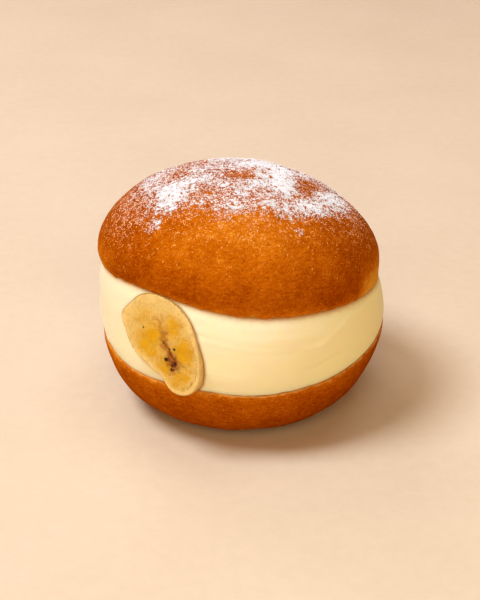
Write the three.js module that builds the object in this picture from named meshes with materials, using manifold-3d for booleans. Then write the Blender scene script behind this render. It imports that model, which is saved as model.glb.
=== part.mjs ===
// Cream doughnut: a fried yeast bun split in two round a thick layer of custard cream, with a
// slice of banana pressed into the side of the cream and icing sugar sifted over the crown.
// Millimetres, +Z up. The origin is on the table, under the middle of the whole.

import * as THREE from 'three';
import { mergeVertices } from 'three/addons/utils/BufferGeometryUtils.js';
import Module from 'manifold-3d';

const { degToRad } = THREE.MathUtils;
const QUARTER_TURN = Math.PI / 2;
const FULL_TURN = 2 * Math.PI;

// ---- Driving dimensions -------------------------------------------------------------------
// Hand-shaped dough is never quite round or level. Each of its waves round a ring is
// [number of crests, size, direction of one crest in degrees, anticlockwise from +X].

const SECTORS = 72; // facets round every layer
const GAP = 0.3; // clearance between pieces that touch
const AXIS = [-0.66, 0.06]; // where the lower half's foot stands
const LIP = 0.4; // rounding of the cut edges

const LOWER = {
  radius: 45.3, // at the cut
  height: 27, // of the cut over the table
  footRadius: 17.3, // flat spot that it stands on
  sidePower: 2.7, // how full the side is, 2 for an ellipse
  footPower: 1.6, // how sharply the side turns into the foot
  drift: 1.6, // how far the cut stands over to +X
  slope: [0.012, 0.065], // rise of the cut for each mm along X and Y
  outOfRound: [[2, 0.01, 35], [3, 0.0136, -53]], // shares of the radius
  rimWaves: [[2, 0.6, -20], [3, 0.28, -53], [4, 0.64, -19]], // heights at the rim
  rows: 12,
};

const UPPER = {
  radius: 44.3, // where it is widest
  domeHeight: 26.2, // from there to the crown
  curlHeight: 4.2, // from the cut up to the widest line
  curlIn: 0.6, // how far the cut edge is tucked in
  curlUneven: 0.9, // more than that at -X, less at +X
  sideFullness: 0.0215, // third harmonic of the dome's width
  crownFlatness: 0.033, // third harmonic of the dome's height
  seat: [-0.96, 0.09, 46.86], // middle of its cut, from the lower half's foot
  tilt: [-4.85, 3.97], // degrees about X and Y
  outOfRound: [[2, 0.0106, -33], [3, 0.0157, -26.2]],
  rimWaves: [[2, 0.23, -79], [3, 1.0, -10.5], [4, 0.75, -42.8]],
  curlRows: 4,
  domeRows: 20,
};

// Icing sugar lies in low drifts: [x, y, radius, depth] in the upper half's own plan.
const DRIFTS = [
  [-21.6, -14.2, 5.5, 0.6],
  [-14.4, -9.6, 5, 0.4],
  [1.5, -10.2, 7, 0.4],
  [7.5, 8.6, 9, 0.4],
  [12.5, -10.5, 3, 0.8],
  [20.6, -16.4, 5.5, 0.5],
  [26.6, -11.6, 5, 0.5],
];

const CREAM = {
  inset: 0.5, // from the cut edges of the bun
  bulge: 1.6, // of the wall, at half its height
  bulgeUneven: 0.2, // more than that towards -X and +X
  bulgePower: 2.4, // how flat the bulge is
  rows: 12,
};

const SLICE = {
  centre: [-22.94, -38.51, 38.29], // of its outer face, from the lower half's foot
  facing: -28, // degrees from -Y, towards -X
  lean: 7, // degrees that the face looks up
  thickness: 4.6,
  semiAxes: [16.8, 11.35],
  longAxis: 122.8, // degrees in the plane of the slice
  lobes: [3, 0.051, 60.2], // the three soft corners of a banana, as a share
  ridges: [[1.7, 158.5, 12.6], [-2.1, -91.4, 11.2], [-1.6, -111.8, 25]], // height, direction, width
  edge: 0.3, // rounding of the cut edges
  outlinePoints: 56,
};

// ---- Materials ----------------------------------------------------------------------------

function crustMaterial() {
  return new THREE.MeshStandardMaterial({ color: 0xb4570f, roughness: 0.55, metalness: 0 });
}

function creamMaterial() {
  return new THREE.MeshStandardMaterial({ color: 0xf6dea3, roughness: 0.4, metalness: 0 });
}

function bananaMaterial() {
  return new THREE.MeshStandardMaterial({ color: 0xe5b458, roughness: 0.35, metalness: 0 });
}

// ---- Rings and skins ----------------------------------------------------------------------

// Sum of size · cos(crests · (angle − direction)) over the waves.
function wave(waves, angle) {
  return waves.reduce((sum, [crests, size, direction]) => (
    sum + size * Math.cos(crests * (angle - degToRad(direction)))
  ), 0);
}

// A list of count + 1 even steps from 0 to 1.
function steps(count) {
  return Array.from({ length: count + 1 }, (_, step) => step / count);
}

// One ring of points: place(angle) at each sector.
function ring(place) {
  return Array.from({ length: SECTORS }, (_, sector) => place(FULL_TURN * sector / SECTORS));
}

// A closed skin: from the lowest point out along the underside, up the wall and in over the top
// to the last point. The rings run anticlockwise, so that the faces look outwards.
function closedSkin(first, rings, last) {
  const points = [first, ...rings.flat(), last];
  const end = points.length - 1;
  const at = (row, sector) => 1 + row * SECTORS + (sector % SECTORS);
  const faces = [];
  for (let sector = 0; sector < SECTORS; sector += 1) {
    faces.push(0, at(0, sector + 1), at(0, sector));
    for (let row = 0; row < rings.length - 1; row += 1) {
      const corners = [at(row, sector), at(row, sector + 1), at(row + 1, sector + 1), at(row + 1, sector)];
      faces.push(corners[0], corners[1], corners[2], corners[0], corners[2], corners[3]);
    }
    faces.push(at(rings.length - 1, sector), at(rings.length - 1, sector + 1), end);
  }
  const geometry = new THREE.BufferGeometry().setFromPoints(points);
  geometry.setIndex(faces);
  geometry.computeVertexNormals();
  return geometry;
}

// The shares of the radius at which a cut face has its rings, from the middle outwards.
const CUT_SHARES = [0.3, 0.6, 0.85, 0.97];

// How far a rounded cut edge stands back, at a distance from the cut.
function edgeSetback(distance) {
  return LIP * Math.max(0, 1 - distance / (2 * LIP)) ** 2;
}

// ---- Lower half of the bun ------------------------------------------------------------------

// A point of the lower half: the even bowl's radius and height, made uneven. The slope and the
// waves grow from nothing at the foot to their full size at the cut.
function lowerPoint(angle, radius, height) {
  const rise = height / LOWER.height;
  const uneven = radius * (1 + wave(LOWER.outOfRound, angle));
  const x = uneven * Math.cos(angle);
  const y = uneven * Math.sin(angle);
  const waves = (radius / LOWER.radius) ** 2 * wave(LOWER.rimWaves, angle);
  const lift = waves + LOWER.slope[0] * x + LOWER.slope[1] * y;
  return new THREE.Vector3(x + LOWER.drift * rise, y, height + rise ** 1.5 * lift);
}

// The bowl's side from the foot, at share 0, to the cut, at share 1: a superellipse quadrant.
function lowerSide(share) {
  const turn = QUARTER_TURN * (1 - share);
  const out = Math.max(Math.cos(turn), 0) ** (2 / LOWER.sidePower);
  const height = LOWER.height * (1 - Math.sin(turn) ** (2 / LOWER.footPower));
  const radius = LOWER.footRadius + (LOWER.radius - LOWER.footRadius) * out;
  return { radius: radius - edgeSetback(LOWER.height - height), height };
}

function lowerHalf() {
  const shares = [...steps(LOWER.rows).slice(0, -1), 0.985, 1];
  const side = shares.map(lowerSide);
  const cut = CUT_SHARES.toReversed().map((share) => (
    { radius: LOWER.radius * share, height: LOWER.height }
  ));
  const rings = [...side, ...cut].map(({ radius, height }) => (
    ring((angle) => lowerPoint(angle, radius, height))
  ));
  return closedSkin(new THREE.Vector3(0, 0, 0), rings, lowerPoint(0, 0, LOWER.height));
}

// ---- Upper half of the bun ------------------------------------------------------------------

// The tuck of the cut edge under the widest line, which is uneven round the bun.
function curl(angle, height) {
  const share = Math.max(0, 1 - height / UPPER.curlHeight);
  return share ** 2 * (UPPER.curlIn - UPPER.curlUneven * Math.cos(angle));
}

// Depth of the icing sugar over a place in the plan: a sum of soft mounds.
function sugar(x, y) {
  return DRIFTS.reduce((sum, [driftX, driftY, radius, depth]) => (
    sum + depth * Math.exp(-(((x - driftX) ** 2 + (y - driftY) ** 2) / radius ** 2))
  ), 0);
}

// A point of the upper half in its own frame, with its cut at height 0. The waves fade from
// their full size at the cut edge to nothing at the crown.
function upperPoint(angle, radius, height) {
  const fade = Math.min(1, 1 - height / (UPPER.curlHeight + UPPER.domeHeight)) ** 2;
  const uneven = radius * (1 + wave(UPPER.outOfRound, angle)) - curl(angle, height);
  const waves = fade * (radius / UPPER.radius) ** 2 * wave(UPPER.rimWaves, angle);
  return new THREE.Vector3(uneven * Math.cos(angle), uneven * Math.sin(angle), height + waves);
}

// The dome from its widest line, at share 0, towards the crown, at share 1.
function dome(share) {
  const turn = QUARTER_TURN * share;
  const across = (1 + UPPER.sideFullness) * Math.cos(turn) - UPPER.sideFullness * Math.cos(3 * turn);
  const up = (1 - UPPER.crownFlatness) * Math.sin(turn) - UPPER.crownFlatness * Math.sin(3 * turn);
  return { radius: UPPER.radius * across, height: UPPER.curlHeight + UPPER.domeHeight * up };
}

function upperHalf() {
  const cut = CUT_SHARES.map((share) => ({ radius: (UPPER.radius - LIP) * share, height: 0 }));
  const edge = [0, LIP, ...steps(UPPER.curlRows).slice(1, -1).map((share) => share * UPPER.curlHeight)];
  const tucked = edge.map((height) => ({ radius: UPPER.radius - edgeSetback(height), height }));
  const domed = steps(UPPER.domeRows).slice(0, -1).map(dome);
  const sugared = (point) => {
    point.z += sugar(point.x, point.y);
    return point;
  };
  const rings = [
    ...[...cut, ...tucked].map(({ radius, height }) => ring((angle) => upperPoint(angle, radius, height))),
    ...domed.map(({ radius, height }) => ring((angle) => sugared(upperPoint(angle, radius, height)))),
  ];
  const crown = dome(1);
  return closedSkin(upperPoint(0, 0, 0), rings, sugared(upperPoint(0, 0, crown.height)));
}

// ---- Cream ----------------------------------------------------------------------------------

// The cream fills the room between the two cuts. Its wall runs from just inside the lower edge
// to just inside the upper one and bulges in between.
function creamLayer(upperMatrix) {
  const underside = (angle, radius) => {
    const point = lowerPoint(angle, radius, LOWER.height);
    point.z += GAP;
    return point;
  };
  const topSide = (angle, radius) => {
    const point = upperPoint(angle, radius, 0);
    point.z -= GAP;
    return point.applyMatrix4(upperMatrix);
  };
  const footRadius = LOWER.radius - LIP - CREAM.inset;
  const headRadius = UPPER.radius - LIP - CREAM.inset;
  const wall = (angle, share) => {
    const point = underside(angle, footRadius).lerp(topSide(angle, headRadius), share);
    const height = 1 - Math.abs(2 * share - 1) ** CREAM.bulgePower;
    const bulge = height * (CREAM.bulge + CREAM.bulgeUneven * Math.cos(2 * angle));
    return point.add(new THREE.Vector3(bulge * Math.cos(angle), bulge * Math.sin(angle), 0));
  };
  const rings = [
    ...CUT_SHARES.map((share) => ring((angle) => underside(angle, footRadius * share))),
    ...[0, 0.02, ...steps(CREAM.rows).slice(1, -1), 0.98, 1].map((share) => (
      ring((angle) => wall(angle, share))
    )),
    ...CUT_SHARES.toReversed().map((share) => ring((angle) => topSide(angle, headRadius * share))),
  ];
  return closedSkin(underside(0, 0), rings, topSide(0, 0));
}

// ---- Banana slice ---------------------------------------------------------------------------

// Height at an angle of a smooth local ridge, or of a nick where its height is below 0, given as
// [height, direction, width] with both angles in degrees.
function ridge([height, direction, width], angle) {
  const away = Math.atan2(Math.sin(angle - degToRad(direction)), Math.cos(angle - degToRad(direction)));
  return height * Math.exp(-((away / degToRad(width)) ** 2));
}

// The slice's outline: an ellipse with three soft corners, one ridge and a nick of two parts,
// grown by a margin all round.
function sliceOutline(margin) {
  const [long, short] = SLICE.semiAxes;
  return new THREE.Shape(steps(SLICE.outlinePoints).slice(0, -1).map((share) => {
    const angle = FULL_TURN * share;
    const turned = angle - degToRad(SLICE.longAxis);
    const ellipse = (long * short) / Math.hypot(short * Math.cos(turned), long * Math.sin(turned));
    const ridges = SLICE.ridges.reduce((sum, bump) => sum + ridge(bump, angle), 0);
    const radius = ellipse * (1 + wave([SLICE.lobes], angle)) + ridges + margin;
    return new THREE.Vector2(radius * Math.cos(angle), radius * Math.sin(angle));
  }));
}

// The slice lies in its own XY plane with its outer face at z = 0.
function bananaSlice() {
  const geometry = new THREE.ExtrudeGeometry(sliceOutline(0), {
    depth: SLICE.thickness - 2 * SLICE.edge,
    bevelThickness: SLICE.edge,
    bevelSize: SLICE.edge,
    bevelOffset: -SLICE.edge,
    bevelSegments: 2,
  });
  return geometry.translate(0, 0, SLICE.edge - SLICE.thickness);
}

// The room that the slice takes up, with its clearance, open towards the outside.
function slicePocket() {
  const outwards = 2 * SLICE.thickness;
  const geometry = new THREE.ExtrudeGeometry(sliceOutline(GAP), {
    depth: SLICE.thickness + GAP + outwards,
    bevelEnabled: false,
  });
  return geometry.translate(0, 0, -SLICE.thickness - GAP);
}

// ---- Cutting --------------------------------------------------------------------------------

const wasm = await Module();
wasm.setup();

function solidOf(geometry) {
  const bare = geometry.clone();
  bare.deleteAttribute('normal');
  bare.deleteAttribute('uv');
  const merged = mergeVertices(bare);
  return new wasm.Manifold(new wasm.Mesh({
    numProp: 3,
    vertProperties: new Float32Array(merged.attributes.position.array),
    triVerts: new Uint32Array(merged.index.array),
  }));
}

// The mesh's own geometry less a cutter, which is given in the group's frame.
function cutFrom(mesh, cutter) {
  mesh.updateMatrix();
  const local = cutter.clone().applyMatrix4(mesh.matrix.clone().invert());
  const { vertProperties, triVerts } = solidOf(mesh.geometry).subtract(solidOf(local)).getMesh();
  const geometry = new THREE.BufferGeometry();
  geometry.setAttribute('position', new THREE.BufferAttribute(vertProperties, 3));
  geometry.setIndex(new THREE.BufferAttribute(triVerts, 1));
  geometry.computeVertexNormals();
  mesh.geometry = geometry;
}

// ---- Assembly -------------------------------------------------------------------------------

function piece(name, geometry, material) {
  const mesh = new THREE.Mesh(geometry, material);
  mesh.name = name;
  return mesh;
}

const doughnut = new THREE.Group();
doughnut.position.set(AXIS[0], AXIS[1], 0);

const upper = piece('top_bun', upperHalf(), crustMaterial());
upper.position.set(...UPPER.seat);
upper.rotation.set(degToRad(UPPER.tilt[0]), degToRad(UPPER.tilt[1]), 0);
upper.updateMatrix();

const lower = piece('base_bun', lowerHalf(), crustMaterial());
const cream = piece('cream_filling', creamLayer(upper.matrix), creamMaterial());

const slice = piece('banana_slice', bananaSlice(), bananaMaterial());
slice.position.set(...SLICE.centre);
slice.rotation.set(QUARTER_TURN - degToRad(SLICE.lean), 0, degToRad(SLICE.facing), 'ZXY');
slice.updateMatrix();

const pocket = slicePocket().applyMatrix4(slice.matrix);
[lower, cream, upper].forEach((mesh) => cutFrom(mesh, pocket));

doughnut.add(lower, cream, upper, slice);

export default doughnut;
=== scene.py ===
"""Cream doughnut: a fried bun split in two round a thick layer of custard cream, with a slice of
banana in its side and icing sugar sifted over the crown.

Lengths are millimetres from the middle of the bun's foot, +Z up, until a mesh or a lamp is made.
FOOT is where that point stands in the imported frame, and MM turns millimetres into metres.
"""

import math

import bpy
import numpy as np
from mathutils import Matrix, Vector


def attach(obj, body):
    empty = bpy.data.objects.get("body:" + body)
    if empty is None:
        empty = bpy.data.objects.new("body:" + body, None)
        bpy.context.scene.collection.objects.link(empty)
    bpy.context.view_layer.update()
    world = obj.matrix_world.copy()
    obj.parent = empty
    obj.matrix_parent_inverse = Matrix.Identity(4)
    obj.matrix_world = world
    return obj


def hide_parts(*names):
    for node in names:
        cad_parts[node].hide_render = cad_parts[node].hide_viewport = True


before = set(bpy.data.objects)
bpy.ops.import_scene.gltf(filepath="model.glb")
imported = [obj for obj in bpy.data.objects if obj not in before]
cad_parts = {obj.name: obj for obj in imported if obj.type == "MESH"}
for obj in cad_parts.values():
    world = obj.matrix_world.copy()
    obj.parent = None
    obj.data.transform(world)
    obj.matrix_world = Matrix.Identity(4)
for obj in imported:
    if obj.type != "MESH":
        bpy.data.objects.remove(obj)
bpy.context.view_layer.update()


# ---- Camera ---------------------------------------------------------------------------------
# A long lens under half a metre away, in front of the doughnut and looking down on it at 28
# degrees.

MM = 0.001
FOOT = np.array([-0.66, 0.06, 0.0])


def in_frame(points):
    """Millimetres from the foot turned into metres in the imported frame."""
    return (np.asarray(points, float) + FOOT) * MM


def looking_from(place, target):
    """The turn that points a camera's or lamp's own -Z axis from place to target."""
    return (Vector(target) - Vector(place)).to_track_quat("-Z", "Y").to_euler()


camera_distance = 460.0
camera_elevation = math.radians(28.0)
aim = np.array([0.0, 0.0, 32.27])
back_and_up = np.array([0.0, -math.cos(camera_elevation), math.sin(camera_elevation)])

lens = bpy.data.cameras.new("camera")
lens.lens = 85.0
lens.sensor_width = 36.0
camera = bpy.data.objects.new("camera", lens)
camera.location = in_frame(aim + camera_distance * back_and_up)
camera.rotation_euler = looking_from(camera.location, in_frame(aim))
bpy.context.scene.collection.objects.link(camera)
bpy.context.scene.camera = camera


# ---- Table top ------------------------------------------------------------------------------
# A wide sheet of matt peach card that the doughnut stands on. Its colour is a little cloudy and
# its face has the fine tooth of uncoated board.

table_half = 2600.0
table_cells = 8


class Wire:
    """An output socket in a material. Arithmetic on wires adds Math nodes and gives the result's
    wire, and node() adds any other node."""

    def __init__(self, tree, socket=None):
        self.tree = tree
        self.socket = socket

    def node(self, kind, settings, inputs, output=0):
        """Adds a node, sets its settings, among them a ramp's stops, and then gives each input
        its value or its wire."""
        made = self.tree.nodes.new(kind)
        stops = settings.pop("stops", None)
        for name, value in settings.items():
            setattr(made, name, value)
        if stops:
            ramp_stops = made.color_ramp.elements
            while len(ramp_stops) < len(stops):
                ramp_stops.new(1.0)
            for stop, (position, shade) in zip(ramp_stops, stops):
                stop.position = position
                stop.color = shade
        for name, value in inputs.items():
            if isinstance(value, Wire):
                self.tree.links.new(value.socket, made.inputs[name])
            else:
                made.inputs[name].default_value = value
        return Wire(self.tree, made.outputs[output] if made.outputs else None)

    def math(self, operation, *values):
        return self.node("ShaderNodeMath", {"operation": operation}, dict(enumerate(values)))

    def __add__(self, other):
        return self.math("ADD", self, other)

    __radd__ = __add__

    def __sub__(self, other):
        return self.math("SUBTRACT", self, other)

    def __rsub__(self, other):
        return self.math("SUBTRACT", other, self)

    def __mul__(self, other):
        return self.math("MULTIPLY", self, other)

    __rmul__ = __mul__

    def rise(self, low, high):
        """0 below low, 1 above high and a soft S between them."""
        limits = {"Value": self, "From Min": low, "From Max": high}
        return self.node("ShaderNodeMapRange", {"interpolation_type": "SMOOTHSTEP"}, limits)

    def tint(self, thin, full):
        """The colour thin where this wire is 0, and the colour full where it is 1. The node's
        colour sockets share their names with others, so they go by number."""
        first_colour, second_colour, mixed_colour = 6, 7, 2
        shades = {"Factor": self, first_colour: thin, second_colour: full}
        return self.node("ShaderNodeMix", {"data_type": "RGBA"}, shades, mixed_colour)

    def grain(self, length, detail=2.0, roughness=0.5):
        """Cloudy noise, about 0.3 to 0.7, with lumps of that length in millimetres. This wire is
        the place that it reads."""
        scale = 1 / (length * MM)
        sizes = {"Vector": self, "Scale": scale, "Detail": detail, "Roughness": roughness}
        return self.node("ShaderNodeTexNoise", {}, sizes)

    def relief(self, depth, under=None):
        """A normal bent by this wire as a height of that depth in millimetres, on top of under."""
        sizes = {"Height": self, "Strength": 1.0, "Distance": depth * MM}
        if under:
            sizes["Normal"] = under
        return self.node("ShaderNodeBump", {}, sizes)


def new_material(name):
    """An empty material, and a wire that carries the place on the object."""
    material = bpy.data.materials.new(name)
    material.use_nodes = True
    material.node_tree.nodes.clear()
    place = Wire(material.node_tree).node("ShaderNodeTexCoord", {}, {}, "Object")
    return material, place


def surface(wire, inputs):
    """Ends a material with a Principled surface."""
    skin = wire.node("ShaderNodeBsdfPrincipled", {}, inputs)
    wire.node("ShaderNodeOutputMaterial", {}, {"Surface": skin})


def add_mesh(name, points, faces, material):
    """A smooth mesh object at the origin, from points in metres and a list of faces."""
    mesh = bpy.data.meshes.new(name)
    mesh.from_pydata(points.tolist(), [], faces)
    mesh.shade_smooth()
    mesh.materials.append(material)
    piece = bpy.data.objects.new(name, mesh)
    bpy.context.scene.collection.objects.link(piece)
    return piece


def card_material():
    """Peach, with a faint cloudiness and a fine tooth. Its far parts, past the reach of the lamps,
    glow a little, so that the card stays pale up to the horizon."""
    dark_peach = (0.614, 0.472, 0.335, 1.0)
    light_peach = (0.657, 0.512, 0.370, 1.0)
    no_glow = (0.0, 0.0, 0.0, 1.0)
    far_glow = (0.50, 0.46, 0.38, 1.0)
    glow_start, glow_full = 580.0, 1300.0
    under_lamp = (-300.0 * MM, 0.0, 0.0)
    material, place = new_material("peach_card")
    cloud = 0.5 * place.grain(60.0, detail=3.0) + 0.5 * place.grain(4.5, detail=4.0, roughness=0.7)
    ends = {0: place, 1: under_lamp}
    reach = place.node("ShaderNodeVectorMath", {"operation": "DISTANCE"}, ends, "Value")
    surface(place, {
        "Base Color": cloud.rise(0.3, 0.7).tint(dark_peach, light_peach),
        "Emission Color": reach.rise(glow_start * MM, glow_full * MM).tint(no_glow, far_glow),
        "Emission Strength": 1.0,
        "Roughness": 0.85,
        "Specular IOR Level": 0.25,
        "Normal": place.grain(1.5, detail=3.0).relief(0.04),
    })
    return material


def make_table():
    """A level square of cells, numbered along X row by row."""
    steps = np.linspace(-table_half, table_half, table_cells + 1)
    across, back = np.meshgrid(steps, steps)
    points = np.stack([across, back, np.zeros_like(across)], -1).reshape(-1, 3)
    cell = np.arange(table_cells)
    corner = (cell[:, None] * (table_cells + 1) + cell).ravel()
    behind = corner + table_cells + 1
    faces = np.stack([corner, corner + 1, behind + 1, behind], -1)
    return add_mesh("table_top", in_frame(points), faces.tolist(), card_material())


make_table()


# ---- Lamps ----------------------------------------------------------------------------------
# A soft lamp high at the left and a little in front, three weak ones round it, and warm light
# from the walls of the room.


def add_lamp(name, bearing, elevation, distance, width, watts, colour):
    """A round soft lamp that shines on the doughnut. Its bearing is anticlockwise from +X, its
    elevation is above level, both in degrees, and its distance is from the doughnut's middle."""
    light = bpy.data.lights.new(name, "AREA")
    light.shape = "DISK"
    light.size = width * MM
    light.energy = watts
    light.color = colour
    turn = math.radians(bearing)
    rise = math.radians(elevation)
    direction = np.array([
        math.cos(rise) * math.cos(turn), math.cos(rise) * math.sin(turn), math.sin(rise)])
    lamp = bpy.data.objects.new(name, light)
    lamp.location = in_frame(aim + distance * direction)
    lamp.rotation_euler = looking_from(lamp.location, in_frame(aim))
    bpy.context.scene.collection.objects.link(lamp)


# name, bearing, elevation, distance, width, watts, colour
add_lamp("main_lamp", 197.0, 61.0, 1600.0, 670.0, 28.3, (0.755, 0.875, 1.0))
add_lamp("overhead_lamp", 20.0, 78.0, 1100.0, 600.0, 2.1, (0.7, 0.92, 1.0))
add_lamp("rear_lamp", 120.0, 48.0, 1100.0, 600.0, 2.85, (0.97, 0.97, 1.0))
add_lamp("front_lamp", 270.0, 32.0, 1100.0, 700.0, 5.2, (1.0, 0.9, 0.58))

room = bpy.data.worlds.new("room")
room.use_nodes = True
room_light = room.node_tree.nodes["Background"].inputs
room_light["Color"].default_value = (1.0, 0.45, 0.18, 1.0)
room_light["Strength"].default_value = 0.345
bpy.context.scene.world = room
bpy.context.scene.view_settings.view_transform = "Standard"


# ---- Banana slice ---------------------------------------------------------------------------
# An oblique slice of ripe banana, pressed into the side of the cream so that it tucks under the
# upper crust and over the lower one. The bun and the cream give way to it.

slice_centre = np.array([-22.94, -38.51, 38.29])
slice_half_length = 16.8
slice_half_width = 11.35
slice_long_way = math.radians(122.8)
slice_thickness = 4.6
slice_rounding = 0.6
slice_sectors = 400

# It is turned about +Z from facing -Y, and its face is tipped down from facing +Z.
slice_turn = math.radians(-28.0)
slice_tip = math.radians(83.0)
slice_across = np.array([math.cos(slice_turn), math.sin(slice_turn), 0.0])
slice_outwards = np.array([
    math.sin(slice_turn) * math.sin(slice_tip),
    -math.cos(slice_turn) * math.sin(slice_tip),
    math.cos(slice_tip),
])
slice_upwards = np.cross(slice_outwards, slice_across)

# Its outline's three soft corners, in crests, size and direction in degrees, and its ridge and
# its nick, in height, direction and width in degrees. A wider dip joins the nick.
slice_corners = ((3, 0.051, 60.2),)
slice_ridge_and_nick = ((1.7, 158.5, 12.6), (-2.1, -91.4, 11.2), (-1.6, -111.8, 25.0))

# Marks on its face: across, up, radius and strength.
yellow_areas = (
    (-4.5, -1.0, 6.0, 0.85), (-1.0, 3.5, 5.0, 0.7), (6.5, -2.0, 5.6, 0.9), (3.5, 5.5, 4.0, 0.7),
    (5.5, -10.0, 5.4, 0.6), (-7.0, 5.5, 4.6, 0.5), (1.0, -7.0, 4.5, 0.75))
deep_yellow_spots = (
    (-3.4, 1.9, 2.5, 1.0), (-4.9, 4.8, 1.7, 0.6), (-6.1, -2.2, 2.3, 0.95), (-4.0, -4.3, 1.5, 0.9),
    (-2.0, -4.0, 1.5, 0.75), (2.6, 7.3, 2.0, 0.75), (2.2, 5.4, 1.5, 0.6), (3.2, 3.5, 1.6, 0.85),
    (7.6, -0.6, 2.7, 0.65), (6.3, -3.0, 2.2, 0.65), (8.5, -10.0, 1.9, 1.0), (7.6, -7.4, 1.7, 0.5),
    (-8.4, 0.8, 1.5, 0.5), (1.2, -8.3, 1.8, 0.6), (5.2, -11.2, 2.6, 0.35), (-7.0, 8.2, 2.6, 0.25))
brown_spots = (
    (4.2, -5.6, 1.4, 1.0), (3.2, -6.9, 1.5, 0.95), (5.6, -6.4, 1.5, 0.55), (2.2, -5.0, 1.3, 0.75),
    (-1.3, 5.8, 0.4, 0.4), (-2.3, 6.7, 0.35, 0.35), (0.3, 3.2, 0.5, 0.35), (0.3, 1.8, 0.5, 0.35))
seeds = (
    (3.9, -1.2, 0.50, 1.2), (1.1, -5.2, 0.66, 1.3), (4.2, -6.1, 0.75, 0.95), (3.1, -8.1, 0.50, 1.2),
    (3.9, -8.0, 0.42, 1.1), (0.0, -0.2, 0.40, 0.8), (2.1, -1.8, 0.40, 0.75), (-7.1, 3.3, 0.33, 1.1),
    (-14.0, 2.1, 0.38, 1.2), (4.8, 10.2, 0.30, 0.6), (3.3, -7.0, 0.45, 0.95))

# Lines on its face, through stations of across and up.
pith_line = ((-1.8, 6.8), (-0.2, 2.6), (0.8, -0.8), (3.4, -5.0), (3.6, -8.2))
smear_line = ((0.0, 0.4), (2.1, -2.4), (3.6, -4.6))


def srgb(red, green, blue):
    """A colour of 0 to 255 a channel, as a shader's linear red, green, blue and alpha."""
    share = np.array([red, green, blue]) / 255.0
    linear = np.where(share <= 0.04045, share / 12.92, ((share + 0.055) / 1.055) ** 2.4)
    return (*linear.tolist(), 1.0)


def near(distance, width, power=2):
    """1 at distance 0, falling to 1 / e at width: exp(-(distance / width) ** power)."""
    return np.exp(-((distance / width) ** power))


def ramp(value, start, end):
    """0 at start and before it, 1 at end and past it, straight between them. Start may be the
    higher of the two."""
    return np.clip((value - start) / (end - start), 0, 1)


def within(value, limit, blur):
    """1 well below the limit and 0 well above it: 1 / (1 + exp((value - limit) / blur))."""
    return 1 / (1 + np.exp((value - limit) / blur))


def rings(count):
    """That many even angles round a ring, in radians, without the last that meets the first."""
    return np.linspace(0.0, 2 * math.pi, count, endpoint=False)


def wave(waves, angle):
    """Sum of size * cos(crests * (angle - direction)) over waves of crests, size, direction."""
    total = np.zeros_like(angle)
    for crests, size, direction in waves:
        total = total + size * np.cos(crests * (angle - math.radians(direction)))
    return total


def bump(angle, direction, width):
    """1 in a direction round the ring, falling to 1 / e at width to either side, in degrees."""
    away = angle - math.radians(direction)
    return near(np.arctan2(np.sin(away), np.cos(away)), math.radians(width))


def bumps(rows, angle):
    """Sum of height * bump over rows of height, direction, width."""
    return sum(height * bump(angle, direction, width) for height, direction, width in rows)


def slice_edge(angle):
    """Radius of the slice's outline: an ellipse whose long way is turned, times one plus the wave
    of its corners, plus its ridge and its nick."""
    turned = angle - slice_long_way
    narrow = slice_half_width * np.cos(turned)
    wide = slice_half_length * np.sin(turned)
    ellipse = slice_half_length * slice_half_width / np.hypot(narrow, wide)
    return ellipse * (1 + wave(slice_corners, angle)) + bumps(slice_ridge_and_nick, angle)


def unevenness(points, length, seed, count=36):
    """Smooth random relief, mostly -1 to 1: the sum of count cosine waves of about that length in
    seeded random directions, over the root of half their number."""
    random = np.random.default_rng(seed)
    direction = random.normal(size=(count, 3))
    direction /= np.linalg.norm(direction, axis=1, keepdims=True)
    pitch = 2 * math.pi / (length * random.uniform(0.7, 1.4, count))
    phase = random.uniform(0, 2 * math.pi, count)
    total = np.zeros(points.shape[:-1])
    for way, turns, start in zip(direction, pitch, phase):
        total += np.cos(points @ way * turns + start)
    return total / math.sqrt(count / 2)


def gathered(values):
    """A grid's values in its mesh's order: one for the first row, which is a single point, the
    rows between, and one for the last row."""
    ends = values.shape[2:]
    middle = values[1:-1].reshape(-1, *ends)
    return np.concatenate([values[0, :1], middle, values[-1, :1]])


def closed_skin(name, grid, material, marks):
    """A closed mesh from a grid of rows by sectors. The first and the last row are one point
    each: a fan round either, and quads from row to row between. Marks are named values on the
    grid, or one value for all of it, that the material reads."""
    rows, sectors = grid.shape[:2]
    sector = np.arange(sectors)
    following = (sector + 1) % sectors
    start = 1 + np.arange(rows - 3)[:, None] * sectors
    above = start + sectors
    quads = np.stack([start + sector, start + following, above + following, above + sector], -1)
    last = 1 + (rows - 2) * sectors
    top = last - sectors
    foot_fan = np.stack([np.zeros_like(sector), 1 + following, 1 + sector], -1)
    head_fan = np.stack([top + sector, top + following, np.full_like(sector, last)], -1)
    faces = foot_fan.tolist() + quads.reshape(-1, 4).tolist() + head_fan.tolist()
    piece = add_mesh(name, in_frame(gathered(grid)), faces, material)
    for mark_name, values in marks.items():
        on_grid = np.broadcast_to(values, grid.shape[:2])
        layer = piece.data.attributes.new(mark_name, "FLOAT", "POINT")
        layer.data.foreach_set("value", gathered(on_grid).astype(np.float32))
    return piece


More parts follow.
